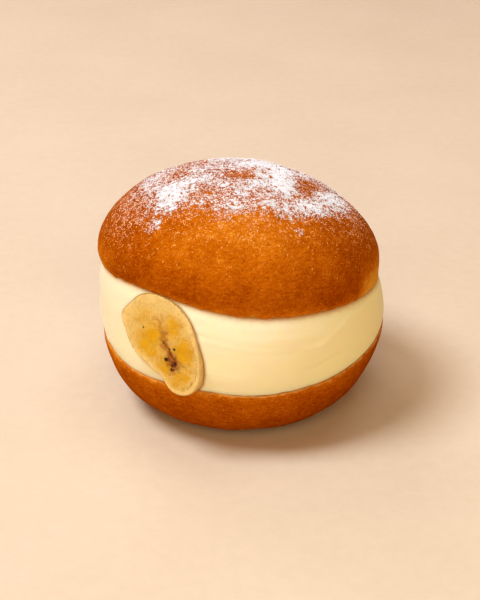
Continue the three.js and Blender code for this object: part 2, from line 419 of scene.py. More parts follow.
def slice_grid():
    """Across, up and out from the slice's centre, and distance inwards from the outline, row by
    row: out along the back, round its edge, up the side, round the front edge, in over the face.
    A row's radius is its share of the outline's radius less the row's inset."""
    back = np.linspace(0.0, 1.0, 12)[:-1]
    bend = np.linspace(0.0, math.pi / 2, 5)
    side = np.linspace(slice_rounding - slice_thickness, -slice_rounding, 12)[1:-1]
    face = np.linspace(1.0, 0.0, 70)[1:]
    bend_out = slice_rounding * (1 - np.sin(bend))
    bend_up = slice_rounding * (1 - np.cos(bend))
    share = np.concatenate([back, np.ones(len(bend) + len(side) + len(bend)), face])
    inset = np.concatenate([
        np.full_like(back, slice_rounding), bend_out, np.zeros_like(side), bend_up,
        np.full_like(face, slice_rounding)])
    height = np.concatenate([
        np.full_like(back, -slice_thickness), bend_up - slice_thickness, side, -bend_out,
        np.zeros_like(face)])
    angle = rings(slice_sectors)
    radius = share[:, None] * (slice_edge(angle) - inset[:, None])
    u = radius * np.cos(angle)
    v = radius * np.sin(angle)
    w = np.broadcast_to(height[:, None], u.shape)
    return u, v, w, slice_edge(angle) - radius


def on_slice(u, v, w):
    """Points given across, up and out from the slice's centre, from the bun's foot."""
    return (slice_centre + u[..., None] * slice_across + v[..., None] * slice_upwards
            + w[..., None] * slice_outwards)


def spots(u, v, places):
    """Strongest of soft round spots, each given by across, up, radius and strength."""
    total = np.zeros_like(u)
    for spot_u, spot_v, radius, strength in places:
        total = np.maximum(total, strength * near(np.hypot(u - spot_u, v - spot_v), radius))
    return total


def from_line(u, v, stations):
    """Distance to a line through stations of across and up."""
    nearest = np.full(u.shape, np.inf)
    for (u0, v0), (u1, v1) in zip(stations, stations[1:]):
        length_squared = (u1 - u0) ** 2 + (v1 - v0) ** 2
        share = np.clip(((u - u0) * (u1 - u0) + (v - v0) * (v1 - v0)) / length_squared, 0, 1)
        gap = np.hypot(u - u0 - share * (u1 - u0), v - v0 - share * (v1 - v0))
        nearest = np.minimum(nearest, gap)
    return nearest


def mark(place, name):
    """A wire that carries the mark of that name on a mesh."""
    return place.node("ShaderNodeAttribute", {"attribute_name": name}, {}, "Fac")


def banana_material():
    """Pale tan flesh that is yellower towards the middle, with soft deep yellow spots, a brown
    pith smeared at its lower end, dark seeds and a darker brown cut edge. Fine fibre roughens the
    edge of each mark."""
    tan, light_tan = srgb(217, 185, 110), srgb(238, 207, 139)
    yellow, deep_yellow = srgb(204, 152, 22), srgb(216, 158, 0)
    pith_brown, dot_brown, smear_brown = srgb(176, 118, 38), srgb(134, 80, 22), srgb(112, 46, 4)
    seed_black = srgb(42, 14, 0)
    edge_brown = srgb(160, 112, 44)
    material, place = new_material("banana_flesh")
    mottle = place.grain(2.4, detail=4.0, roughness=0.6).rise(0.3, 0.7)
    fibre = place.grain(0.55, detail=3.0, roughness=0.65) - 0.5
    speckle = place.grain(0.8, detail=3.0, roughness=0.7).rise(0.4, 0.66)
    flesh = mottle.tint(tan, light_tan)
    core = mark(place, "core") + 0.3 * (mottle - 0.5) + 0.5 * fibre
    flesh = core.rise(-0.1, 0.9).tint(flesh, yellow)
    yolk = mark(place, "yolk") + 0.25 * (mottle - 0.5) + 0.3 * fibre
    flesh = yolk.rise(0.0, 1.05).tint(flesh, deep_yellow)
    flesh = (mark(place, "pith") + 0.4 * fibre).rise(-0.1, 0.85).tint(flesh, pith_brown)
    flesh = (mark(place, "dots") + speckle - 1.0).rise(0.0, 0.7).tint(flesh, dot_brown)
    flesh = (mark(place, "smear") + 0.5 * fibre).rise(-0.1, 1.0).tint(flesh, smear_brown)
    flesh = (mark(place, "seed") + 0.5 * fibre).rise(0.1, 1.0).tint(flesh, seed_black)
    flesh = (mark(place, "darkened") + 0.6 * fibre).rise(0.1, 1.0).tint(flesh, edge_brown)
    surface(place, {
        "Base Color": flesh,
        "Roughness": 0.45,
        "Specular IOR Level": 0.15,
        "Subsurface Weight": 0.2,
        "Subsurface Radius": (1.0, 0.6, 0.2),
        "Subsurface Scale": 1.2 * MM,
        "Normal": (fibre + 0.5 * mottle).relief(0.12),
    })
    return material


def slice_marks(u, v, w, depth):
    """The marks of the slice, and how far its face stands up with them. The soft marks drift a
    little off their places so that none is round. Right of the middle a faint ring and fine
    lines run beside the edge, and fibres run up the whole face. The edge is darker brown, most at
    the left, and so is the side below it."""
    flat = np.stack([u, v, w], -1)
    face = ramp(w, -slice_rounding, 0.0)
    drift_u = u + 0.4 * unevenness(flat, 2.2, 11)
    drift_v = v + 0.4 * unevenness(flat, 2.2, 12)
    core = (0.10 + 0.90 * spots(drift_u, drift_v, yellow_areas)) * ramp(depth, 0.0, 2.5)
    yolk = spots(drift_u, drift_v, deep_yellow_spots)

    pith = 0.8 * near(from_line(drift_u, drift_v, pith_line), 1.6) * np.clip(0.85 - 0.05 * v, 0.5, 1)
    dots = pith * np.clip(0.55 - 0.09 * v, 0.1, 1.1)
    smear_gap = from_line(u + 0.3 * unevenness(flat, 1.4, 14), v, smear_line)
    smear = near(smear_gap, 0.6) * np.clip(0.6 - 0.06 * v, 0.4, 0.85)
    smear = np.maximum(smear, spots(drift_u, drift_v, brown_spots))
    seed = spots(u, v, seeds)

    right_side = ramp(u, 4.0, 9.0) * ramp(v, 6.0, 0.0)
    ring = near(depth - 1.7 - 0.25 * np.sin(v / 2.6), 0.45) * right_side
    fibres = unevenness(flat * [1.0, 0.3, 1.0], 0.9, 15)
    line_pitch = 0.85
    lines = np.cos(2 * math.pi * depth / line_pitch + unevenness(flat, 4.0, 16))
    lines = lines * near(depth, 3.4, 4)
    left_side = within(u - 0.6 * v, -1.0, 1.5)
    darkened = near(depth, 0.34) * ramp(w, -0.7, -0.3) * (0.1 + 0.9 * left_side)
    darkened = np.maximum(darkened, 0.3 * ramp(w, -slice_rounding, -slice_rounding - 1.5))
    darkened = np.maximum(darkened, 0.32 * ring)
    shaded = 0.16 * np.clip(fibres, 0, 1.5) + 0.26 * np.clip(lines, 0, 1) * right_side

    lift = 0.08 * unevenness(flat, 5.0, 13) - 0.20 * pith - 0.15 * smear - 0.15 * ring
    lift = lift + 0.03 * fibres - 0.05 * lines * right_side
    on_face = {"core": core, "yolk": yolk, "pith": pith, "dots": dots, "smear": smear, "seed": seed}
    marks = {name: values * face for name, values in on_face.items()}
    marks["darkened"] = darkened + shaded * face
    return marks, lift * face


def make_slice():
    """The slice with its marks, its face very slightly uneven."""
    u, v, w, depth = slice_grid()
    marks, lift = slice_marks(u, v, w, depth)
    return closed_skin("banana_piece", on_slice(u, v, w + lift), banana_material(), marks)


banana_piece = make_slice()
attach(banana_piece, "root")
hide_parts("banana_slice")


# ---- Lower half of the bun ------------------------------------------------------------------
# Fried yeast dough: a bowl-shaped half with a flat foot, its crust golden at the cut and darker
# towards the foot. It was cut across with a knife, so a pale line of crumb shows at the edge.

lower_radius = 45.3
lower_height = 27.0
lower_foot_radius = 17.3
lower_lip = 0.6
lower_power_out = 2.7
lower_power_up = 1.6
lower_sectors = 480
lower_drift = 1.6
lower_slope_x, lower_slope_y = 0.012, 0.065

# Waves round the bun, in crests, size and direction in degrees. Then a narrowing of its side and
# the dips of its rim, in height, direction and width in degrees.
lower_swell = ((2, 0.01, 35), (3, 0.0136, -53))
lower_rim_waves = ((2, 0.6, -20), (3, 0.28, -53), (4, 0.64, -19))
lower_narrowing = ((-0.3, 180, 18),)
lower_rim_dips = ((-0.7, -88, 13), (-0.6, -140, 13))

# How far the dough and the cream stay behind the slice's back.
slice_gap = 0.05


def beside_slice(grid):
    """Distance outside the slice's outline, below 0 inside it, and height over its back."""
    u = (grid - slice_centre) @ slice_across
    v = (grid - slice_centre) @ slice_upwards
    w = (grid - slice_centre) @ slice_outwards
    return np.hypot(u, v) - slice_edge(np.arctan2(v, u)), w + slice_thickness


def give_way(grid):
    """Dough and cream give way to the slice: a point in front of the slice's back sinks to a gap
    behind it, from 0.4 inside the outline and fully by 0.9."""
    beside, height = beside_slice(grid)
    sunk = ramp(-beside, 0.4, 0.9) * np.maximum(height + slice_gap, 0)
    return grid - sunk[..., None] * slice_outwards


def lower_point(angle, radius, height):
    """The even bowl made uneven: the radius swells by its share of two waves and narrows a
    little at the left. The top drifts to +X. Slope, rim waves and dips move it up and down, by
    more the nearer it is to the cut."""
    angle, radius, height = np.broadcast_arrays(angle, radius, height)
    rise = height / lower_height
    uneven = radius * (1 + wave(lower_swell, angle)) + rise * bumps(lower_narrowing, angle)
    x = uneven * np.cos(angle)
    y = uneven * np.sin(angle)
    rim = wave(lower_rim_waves, angle) + bumps(lower_rim_dips, angle)
    lift = (radius / lower_radius) ** 2 * rim + lower_slope_x * x + lower_slope_y * y
    return np.stack([x + lower_drift * rise, y, height + rise ** 1.5 * lift], -1)


def crust_material():
    """Fried crust from deep brown to golden, with fine pores, level streaks and pale and golden
    flecks, the golden ones partly painted glints of oil. Its golden tone carries painted light too:
    brighter in front of the dome, browner towards +X on the lower half. Where the cut shows it is
    crumb. Where sugar lies there is a thin veil, and powder on that share of it: warm where it is
    thin and a cool white on the drifts."""
    browns = [
        (0.0, srgb(98, 35, 0)),
        (0.35, srgb(146, 61, 0)),
        (0.65, srgb(184, 95, 8)),
        (1.0, srgb(217, 150, 46)),
    ]
    golden_fleck_and_glint, pale_fleck = srgb(228, 156, 66), srgb(228, 168, 126)
    crumb_tan = srgb(196, 132, 64)
    thin_veil, thick_veil = srgb(218, 160, 128), srgb(212, 168, 154)
    thin_powder, thick_powder = (0.89, 0.80, 0.745, 1.0), (0.85, 0.86, 0.945, 1.0)
    material, place = new_material("fried_crust")

    # The browned crust.
    broad = place.grain(9.0, detail=3.0)
    blotch = place.grain(2.4, detail=4.0, roughness=0.6)
    pores = place.grain(0.8, detail=4.0, roughness=0.65)
    specks = place.grain(0.42, detail=2.0, roughness=0.6)
    squeeze = {0: place, 1: (1.0, 1.0, 3.2)}
    squeezed = place.node("ShaderNodeVectorMath", {"operation": "MULTIPLY"}, squeeze)
    streak = squeezed.grain(2.0, detail=3.0, roughness=0.65)
    # The tone mark is the crust's own golden colour with painted light in front of the dome and
    # painted shade towards +X on the lower half.
    tone = mark(place, "gold_and_painted_light") + 0.35 * (broad - 0.5) + 0.3 * (blotch - 0.5)
    tone = tone + 0.45 * (pores - 0.5) + 0.5 * (specks - 0.5) + 0.45 * (streak - 0.5)
    crust = tone.node("ShaderNodeValToRGB", {"stops": browns}, {"Fac": tone})

    # Flecks, the golden ones partly painted glints, and crumb at the cut.
    curl = 1 - 9.0 * (place.grain(1.1, detail=2.0, roughness=0.55) - 0.5).math("ABSOLUTE")
    fine = place.grain(0.7, detail=3.0, roughness=0.7).rise(0.36, 0.64)
    grit = 0.62 * fine + 0.38 * curl.rise(0.0, 1.0)
    lump = place.grain(1.8, detail=4.0, roughness=0.65).rise(0.36, 0.64)
    bits = 0.5 * grit + 0.5 * specks.rise(0.38, 0.62)
    fleck_and_glint = (mark(place, "fleck_and_glint") * (0.6 + 0.8 * lump) + bits - 1).rise(0.0, 0.16)
    fleck_shade = mark(place, "fleck_and_glint").rise(0.25, 0.5).tint(golden_fleck_and_glint, pale_fleck)
    # Flecks are specks in the crust; the golden ones are partly painted glints of oil.
    crust = (0.8 * fleck_and_glint).tint(crust, fleck_shade)
    crumb = (mark(place, "crumb") + 0.8 * (pores - 0.5)).rise(0.25, 0.8)
    crust = crumb.tint(crust, crumb_tan)

    # Sugar: a share of the crust is covered, and the rest is veiled.
    share = mark(place, "sugar") * (0.45 + 1.1 * lump)
    cover = (share + grit - 1).rise(0.0, 0.13)
    veil = 0.4 * share.rise(0.3, 1.0) + 0.25 * share.rise(0.7, 1.4)
    dusted = veil.tint(crust, share.rise(0.5, 1.2).tint(thin_veil, thick_veil))
    dusted = cover.tint(dusted, share.rise(0.3, 1.1).tint(thin_powder, thick_powder))
    skin = (0.35 * pores + 0.5 * blotch).relief(0.16)
    surface(place, {
        "Base Color": dusted,
        "Roughness": 0.5 + 0.12 * pores + 0.3 * cover,
        "Specular IOR Level": 0.0,
        "Subsurface Weight": 0.08,
        "Subsurface Radius": (1.0, 0.45, 0.15),
        "Subsurface Scale": 1.0 * MM,
        "Normal": (0.6 * cover + 0.8 * cover * fine).relief(0.3, skin),
    })
    return material


crust_finish = crust_material()


def lower_profile():
    """Radius and height of the even bowl, row by row: out across the flat foot, up the side as a
    superellipse of the two powers, over the rounded cut edge and in across the cut."""
    foot = lower_foot_radius * np.linspace(0.0, 1.0, 14)[:-1]
    turn = np.linspace(math.pi / 2, 0.0, 84)
    side_out = np.cos(turn).clip(0) ** (2 / lower_power_out)
    side_radius = lower_foot_radius + (lower_radius - lower_foot_radius) * side_out
    side_height = lower_height * (1 - np.sin(turn) ** (2 / lower_power_up))
    below_lip = side_height < lower_height - lower_lip
    bend = np.linspace(0.0, math.pi / 2, 7)
    bend_radius = lower_radius - lower_lip * (1 - np.cos(bend))
    bend_height = lower_height - lower_lip * (1 - np.sin(bend))
    cut = (lower_radius - lower_lip) * np.linspace(1.0, 0.0, 22)[1:] ** 0.6
    radius = np.concatenate([foot, side_radius[below_lip], bend_radius, cut])
    height = np.concatenate([
        np.zeros_like(foot), side_height[below_lip], bend_height, np.full_like(cut, lower_height)])
    return radius[:, None], height[:, None]


def outward(grid):
    """Unit normals of a grid of points: its step round a ring crossed with its step to the next
    ring. The grid's rings run anticlockwise and climb the outside."""
    along = np.roll(grid, -1, 1) - np.roll(grid, 1, 1)
    normal = np.cross(along, np.gradient(grid, axis=0))
    return normal / np.maximum(np.linalg.norm(normal, axis=-1, keepdims=True), 1e-9)


def make_lower_half():
    """The bowl with a fine unevenness on its side and a ragged cut edge. Its crust is more golden
    towards the cut and browner at either side, most towards +X, where the extra brown is painted
    shade on the side away from the main lamp."""
    angle = rings(lower_sectors)
    radius, height = lower_profile()
    below_cut = lower_height - height
    grid = lower_point(angle, radius, height)
    on_side = ramp(height, 0.0, 4.0) * (radius > lower_foot_radius) * ramp(below_cut, 0.0, 2.0)
    relief = 0.08 * unevenness(grid, 13.0, 21) + 0.025 * unevenness(grid, 4.0, 22)
    grid = grid + (relief * on_side)[..., None] * outward(grid)
    on_lip = (radius > lower_radius - lower_lip) * near(below_cut, 2.5)
    grid[..., 2] += on_lip * (0.16 * unevenness(grid, 6.0, 24) + 0.08 * unevenness(grid, 2.2, 25))

    gold_and_painted_light = 0.40 + 0.18 * ramp(height, 0.0, lower_height) ** 2 + 0.14 * near(below_cut, 2.0)
    # Browner at either side: towards +X this is painted shade, on the side away from the main lamp.
    gold_and_painted_light = gold_and_painted_light - 0.03 * np.clip(-np.cos(angle), 0, 1) - 0.13 * np.clip(np.cos(angle), 0, 1)
    crumb_depth = np.maximum(0.36 + 0.26 * unevenness(grid, 2.4, 23), 0.05)
    crumb = near(below_cut, crumb_depth) * (1 - 0.45 * bump(angle, -150, 40))
    marks = {"gold_and_painted_light": gold_and_painted_light, "crumb": crumb, "sugar": 0.0, "fleck_and_glint": 0.23}
    return closed_skin("lower_half", give_way(grid), crust_finish, marks)


lower_half = make_lower_half()
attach(lower_half, "root")
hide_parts("base_bun")


# ---- Upper half of the bun: shape -----------------------------------------------------------
# The same dough, risen into a dome. Its cut edge tucks under at the left and it sits tilted on
# the cream, higher at the left and in front. The cream needs its place, so its shape comes first.

upper_radius = 44.3
upper_dome_height = 26.2
upper_curl_height = 4.2
upper_seat = np.array([-0.96, 0.09, 46.86])
tilt_x = math.radians(-4.85)
tilt_y = math.radians(3.97)
turn_about_x = np.array([
    [1, 0, 0],
    [0, math.cos(tilt_x), -math.sin(tilt_x)],
    [0, math.sin(tilt_x), math.cos(tilt_x)],
])
turn_about_y = np.array([
    [math.cos(tilt_y), 0, math.sin(tilt_y)],
    [0, 1, 0],
    [-math.sin(tilt_y), 0, math.cos(tilt_y)],
])
upper_turn = turn_about_x @ turn_about_y

# Waves round the bun, in crests, size and direction in degrees. Then a droop of its rim at the
# right of the front and a lift at the left, in height, direction and width in degrees.
upper_swell = ((2, 0.0106, -33), (3, 0.0157, -26.2))
upper_rim_waves = ((2, 0.23, -79), (3, 1.0, -10.5), (4, 0.75, -42.8))
upper_droop_and_lift = ((-0.9, -40, 24), (1.2, -175, 17))


def upper_point(angle, radius, height):
    """The even dome made uneven, in its own frame with the cut at height 0: the radius swells by
    its share of two waves and tucks in below the widest line, most at the left. Rim waves, the
    droop and the lift move the cut up and down, and fade towards the crown."""
    angle, radius, height = np.broadcast_arrays(angle, radius, height)
    fade = np.minimum(1, 1 - height / (upper_curl_height + upper_dome_height)) ** 2
    tuck = np.maximum(0, 1 - height / upper_curl_height) ** 2 * (0.6 - 0.9 * np.cos(angle))
    uneven = radius * (1 + wave(upper_swell, angle)) - tuck
    rim = wave(upper_rim_waves, angle) + bumps(upper_droop_and_lift, angle)
    lift = fade * (radius / upper_radius) ** 2 * rim
    return np.stack([uneven * np.cos(angle), uneven * np.sin(angle), height + lift], -1)


def seated(grid):
    """The upper half's own frame turned by its tilt and put on its seat."""
    return grid @ upper_turn.T + upper_seat


# ---- Custard cream --------------------------------------------------------------------------
# Whipped custard cream, piped between the halves in one thick layer and wiped round with a
# palette knife, so it bulges a little and keeps faint level strokes.

cream_foot_radius = 44.7
cream_head_radius = 43.8
cream_clearance = 0.05
cream_bulge = 1.7
cream_bulge_loss = 0.45
cream_smear = 0.5
cream_sectors = 560
cream_strokes = (
    # bearings of its ends in degrees, their shares of the wall's height, depth, half width as
    # a share of the height; a ridge has a depth below 0
    (-106, -76, 0.70, 0.64, 0.09, 0.035),
    (-100, -60, 0.58, 0.52, 0.04, 0.03),
    (-58, -40, 0.55, 0.86, -0.20, 0.05),
    (-60, -52, 0.28, 0.36, 0.34, 0.025),
    (-160, 60, 0.80, 0.84, 0.05, 0.05),
)


def cream_material():
    """Pale yellow and translucent with a satin skin: deeper yellow towards +X, which is painted
    shade on the side away from the main lamp, peach towards the top of the left side, paler in a
    patch under the front of the upper crust, which is painted light, and brown where it touches the
    crust
    or the slice: partly crust rubbed off on it, partly painted shade under the crust and beside the
    slice."""
    shade, light_shade = (0.880, 0.785, 0.500, 1.0), (0.895, 0.805, 0.535, 1.0)
    painted_shade_yellow, warm_left_shade = (0.870, 0.780, 0.330, 1.0), (0.870, 0.690, 0.460, 1.0)
    painted_pale_shade = (0.900, 0.850, 0.680, 1.0)
    crust_stain_and_shade = srgb(184, 120, 40)
    material, place = new_material("custard_cream")
    cloud = place.grain(14.0, detail=3.0).rise(0.3, 0.7)
    fine = place.grain(1.4, detail=3.0, roughness=0.6)
    cream = cloud.tint(shade, light_shade)
    # Painted shade: a deeper yellow towards +X, on the side away from the main lamp.
    cream = mark(place, "thin").tint(cream, painted_shade_yellow)
    # A peach tint towards the top of the left side.
    cream = mark(place, "warm_left").tint(cream, warm_left_shade)
    # Painted light: paler in a patch under the front of the upper crust.
    cream = mark(place, "painted_pale").tint(cream, painted_pale_shade)
    # Brown where it meets the crust or the slice: partly rubbed-off crust, partly painted shade
    # under the crust and painted shadow beside the slice.
    cream = (mark(place, "stain_and_shade") + 0.25 * (fine - 0.5)).rise(0.1, 1.0).tint(cream, crust_stain_and_shade)
    surface(place, {
        "Base Color": cream,
        "Roughness": 0.46 + 0.08 * cloud,
        "Specular IOR Level": 0.4,
        "Subsurface Weight": 0.6,
        "Subsurface Radius": (1.0, 0.62, 0.28),
        "Subsurface Scale": 4.0 * MM,
        "Normal": (cloud + 0.25 * fine).relief(0.12),
    })
    return material


def over_lower_cut(angle, radius):
    """The cream's underside, just clear of the lower half's cut."""
    return lower_point(angle, radius, lower_height) + [0, 0, cream_clearance]


def under_upper_cut(angle, radius):
    """The cream's top, just clear of the upper half's cut."""
    return seated(upper_point(angle, radius, 0.0) - [0, 0, cream_clearance])


def stroke_relief(angle, share):
    """Sum of the strokes: each is -depth * near(distance from its rising middle line, its half
    width), and fades out over 5 degrees past its ends."""
    bearing = (np.degrees(angle) + 180) % 360 - 180
    total = np.zeros_like(angle)
    for start, end, start_share, end_share, depth, half_width in cream_strokes:
        middle = start_share + ramp(bearing, start, end) * (end_share - start_share)
        past_end = np.maximum(0, np.abs(bearing - (start + end) / 2) - (end - start) / 2)
        total = total - depth * near(past_end, 5.0) * near(share - middle, half_width)
    return total


def cream_marks(grid, stain_and_shade):
    """The brown at the cuts joined by the one against the slice, most at its right, where it is
    painted shadow of the slice. The painted shade of the mark named thin grows towards +X, the peach
    tint towards the top of the left side, and the painted paleness towards the top of the front."""
    x, y, z = grid[..., 0], grid[..., 1], grid[..., 2]
    beside, over_back = beside_slice(grid)
    left_of_slice = within((grid - slice_centre) @ slice_across, 0.0, 3.0)
    # Painted shadow of the slice on the cream, most at its right, away from the main lamp.
    contact_stain_and_shadow = near(beside, 0.9) * (over_back > 0) * (0.9 - 0.6 * left_of_slice)
    return {
        "stain_and_shade": np.maximum(stain_and_shade, contact_stain_and_shadow),
        # Painted shade towards +X.
        "thin": 0.9 * ramp(x, 4.0, 44.0) ** 1.5,
        "warm_left": ramp(x, -25.0, -45.0) * ramp(z, 30.0, 45.0),
        # Painted light at the top of the front.
        "painted_pale": 0.6 * ramp(z, 34.0, 46.0) * bump(np.arctan2(y, x), -88, 38),
    }


def make_cream():
    """The wall runs from just inside the lower cut edge to just inside the upper one. At share s
    of its height it bulges by 1 - |2s - 1| ** 3 of its bulge, which is less towards +X. At the
    left it is smeared out and down over the lower rim. Brown lies on it at either cut: at the upper
    one painted shade under the crust's edge, at the lower one ragged, partly crust rubbed off on it
    and partly painted shade in the crevice."""
    angle = rings(cream_sectors)
    level_out = np.stack([np.cos(angle), np.sin(angle), np.zeros_like(angle)], -1)
    spread = np.linspace(0.0, 1.0, 14)[:-1, None] ** 0.6
    floor = over_lower_cut(angle, cream_foot_radius * spread)
    roof = under_upper_cut(angle, cream_head_radius * spread[::-1])

    even = np.linspace(0.0, 1.0, 74)[:, None]
    share = 0.65 * even + 0.35 * (0.5 - 0.5 * np.cos(math.pi * even))
    low = over_lower_cut(angle, cream_foot_radius)
    high = under_upper_cut(angle, cream_head_radius)
    wall = low * (1 - share[..., None]) + high * share[..., None]
    fullest = cream_bulge - cream_bulge_loss * np.clip(np.cos(angle), 0, 1)
    wall = wall + ((1 - np.abs(2 * share - 1) ** 3) * fullest)[..., None] * level_out
    patchy = np.clip(1 + 0.5 * unevenness(low, 7.0, 34), 0, 2)
    smear = cream_smear * bump(angle, 180, 18) * patchy
    wall = wall + (smear * near(share, 0.09))[..., None] * (0.8 * level_out - [0, 0, 1])

    lengthwise = wall * [0.18, 0.18, 1.0]
    relief = 0.018 * unevenness(lengthwise, 3.2, 31) + 0.04 * unevenness(lengthwise, 9.0, 32)
    relief = relief + 0.06 * unevenness(wall, 16.0, 33) + stroke_relief(angle, share)
    clear_of_cuts = ramp(np.minimum(share, 1 - share), 0.0, 0.08)
    wall = wall + (relief * clear_of_cuts)[..., None] * outward(wall)

    tall = np.linalg.norm(high - low, axis=-1)
    ragged = np.clip(0.55 + 0.5 * unevenness(low, 5.0, 35), 0.1, 1.2)
    # Brown at the cuts: painted shade under the upper crust's edge, and at the lower cut rubbed-off
    # crust with painted shade in the crevice.
    stain_and_shade = 0.9 * np.exp(-((1 - share) * tall / 1.4)) + ragged * near(share * tall, 0.3)
    hidden = np.ones(floor.shape[:2])
    grid = np.concatenate([floor, wall, roof])
    marks = cream_marks(grid, np.concatenate([hidden, stain_and_shade, hidden]))
    return closed_skin("custard_layer", give_way(grid), cream_material(), marks)


custard_layer = make_cream()
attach(custard_layer, "root")
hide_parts("cream_filling")


# ---- Upper half of the bun: crust and sugar -------------------------------------------------
# The dome is fried golden brown, brighter in front, which is painted light, and browner at its
# sides. Icing sugar was sifted over it from above: a speckle over the whole crown, with thicker
# drifts where the sieve was tapped.

upper_lip = 0.5
upper_shoulder = 0.0215
upper_peak = 0.033
upper_sectors = 520
sugar_drifts = (
    # x, y, half length, half width, direction in degrees, strength
    (-21.2, -15.2, 6.4, 4.2, 85, 1.2),
    (-13.5, -8.0, 6.0, 4.0, 20, 0.75),
    (-14.5, 0.5, 3.0, 2.0, 10, 0.45),
    (6.5, 7.5, 8.0, 5.5, 10, 1.05),
    (12.5, -3.0, 9.0, 3.4, 88, 1.05),
    (12.8, -11.3, 3.0, 2.4, 0, 1.2),
    (4.0, -10.5, 6.5, 3.0, 20, 0.75),
    (27.0, -6.5, 6.5, 3.2, 42, 1.0),
    (21.5, -17.6, 6.0, 3.4, 26, 1.3),
    (28.5, -11.5, 4.0, 2.6, 20, 0.4),
    (-2.5, -22.7, 5.0, 3.0, 5, 0.75),
    (-2.5, -17.0, 4.6, 2.2, 0, 0.6),
    (6.0, -15.5, 4.0, 2.2, 0, 0.5),
    (8.5, -20.5, 5.0, 2.4, 5, 0.5),
    (13.5, -17.0, 3.0, 2.4, 0, 0.35),
    (14.0, -23.8, 4.0, 2.4, 10, 0.55),
    (17.0, -28.4, 2.0, 1.4, 0, 0.9),
    (-7.5, -12.5, 5.0, 2.2, 5, 0.55),
    (-26.0, -25.4, 2.8, 2.2, 10, 1.05),
    (-23.0, -20.6, 3.2, 2.4, 10, 0.5),
    (-12.5, -20.0, 5.0, 2.6, 5, 0.3),
    (-29.5, -20.0, 3.0, 4.0, 0, 0.15),
    (-5.0, -28.5, 5.0, 2.6, 0, 0.3),
    (-22.0, 12.0, 8.0, 4.0, 60, 0.3),
    (-2.0, 22.0, 8.0, 5.0, 150, 0.75),
    (17.0, 21.0, 6.5, 3.5, 30, 0.7),
    (-20.0, 24.0, 5.0, 3.0, 20, 0.5),
    (30.0, 12.0, 5.0, 3.0, 70, 0.45),
    (-7.0, 13.0, 7.0, 5.0, 0, 0.4),
    (-2.5, 1.5, 6.5, 3.0, 5, 0.35),
    (6.0, -4.2, 3.2, 3.0, 0, 0.75),
    (-13.0, 4.0, 9.0, 5.0, 20, 0.25),
    (19.5, 6.5, 6.0, 4.0, 30, 0.35),
    (-30.0, 7.0, 9.0, 5.0, 100, 0.35),
    # bare patches, where the sugar was rubbed off
    (0.0, -7.0, 4.2, 2.2, 0, -0.45),
    (-21.0, -0.5, 4.5, 3.4, 30, -0.25),
    (-9.5, -17.0, 2.6, 1.8, 10, -0.2),
    (19.5, -5.0, 7.5, 4.2, 75, -0.28),
    (-18.0, 16.0, 6.0, 3.6, 30, -0.4),
)
sugar_mounds = (
    # x, y, radius, depth
    (-21.6, -14.2, 5.5, 0.6),
    (-14.4, -9.6, 5.0, 0.4),
    (1.5, -10.2, 7.0, 0.4),
    (7.5, 8.6, 9.0, 0.4),
    (12.5, -10.5, 3.0, 0.8),
    (20.6, -16.4, 5.5, 0.5),
    (26.6, -11.6, 5.0, 0.5),
)


def patch(x, y, middle_x, middle_y, half_length, half_width, direction=0.0, power=2):
    """1 at its middle, falling off in an ellipse turned by its direction in degrees: near() of
    the distance from the middle in its own half sizes."""
    turn = math.radians(direction)
    along = ((x - middle_x) * math.cos(turn) + (y - middle_y) * math.sin(turn)) / half_length
    aside = ((y - middle_y) * math.cos(turn) - (x - middle_x) * math.sin(turn)) / half_width
    return near(np.hypot(along, aside), 1.0, power)


def sugar_density(x, y):
    """How thick the sugar lies: an even dusting that thins out 25 to 34 from the middle, two wide
    patches that reach further down either side, and the drifts, at half their strength."""
    reach = np.hypot(x / 1.22, y + 1.0)
    total = 0.31 * within(reach, 26.5, 1.6) + 0.11 * within(reach, 32.0, 1.5)
    total = total + 0.20 * patch(x, y, -31.0, -12.0, 10.0, 16.0, power=4)
    total = total + 0.17 * patch(x, y, 34.0, -4.0, 8.0, 14.0, power=4)
    for *ellipse, strength in sugar_drifts:
        total = total + 0.50 * strength * patch(x, y, *ellipse)
    return np.maximum(total, 0)


def sugar_mound(x, y):
    """Depth of the low round mounds of the drifts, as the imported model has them."""
    total = np.zeros_like(x)
    for mound_x, mound_y, radius, depth in sugar_mounds:
        total += depth * near(np.hypot(x - mound_x, y - mound_y), radius)
    return total


def upper_profile():
    """Radius and height of the even dome, row by row: out across the cut, round its edge, up the
    tuck to the widest line and in over the dome. The dome is an ellipse with a third harmonic
    that makes its shoulder fuller and one that makes its crown more peaked."""
    cut = (upper_radius - upper_lip) * np.linspace(0.0, 1.0, 18)[:-1] ** 0.6
    bend = np.linspace(0.0, math.pi / 2, 6)
    bend_radius = upper_radius - upper_lip * (1 - np.sin(bend))
    bend_height = upper_lip * (1 - np.cos(bend))
    tuck = np.linspace(upper_lip, upper_curl_height, 10)[1:-1]
    turn = np.linspace(0.0, math.pi / 2, 108)
    dome_out = (1 + upper_shoulder) * np.cos(turn) - upper_shoulder * np.cos(3 * turn)
    dome_out[-1] = 0.0
    dome_up = (1 - upper_peak) * np.sin(turn) - upper_peak * np.sin(3 * turn)
    radius = np.concatenate([
        cut, bend_radius, np.full_like(tuck, upper_radius), upper_radius * dome_out])
    height = np.concatenate([
        np.zeros_like(cut), bend_height, tuck, upper_curl_height + upper_dome_height * dome_up])
    return radius[:, None], height[:, None]


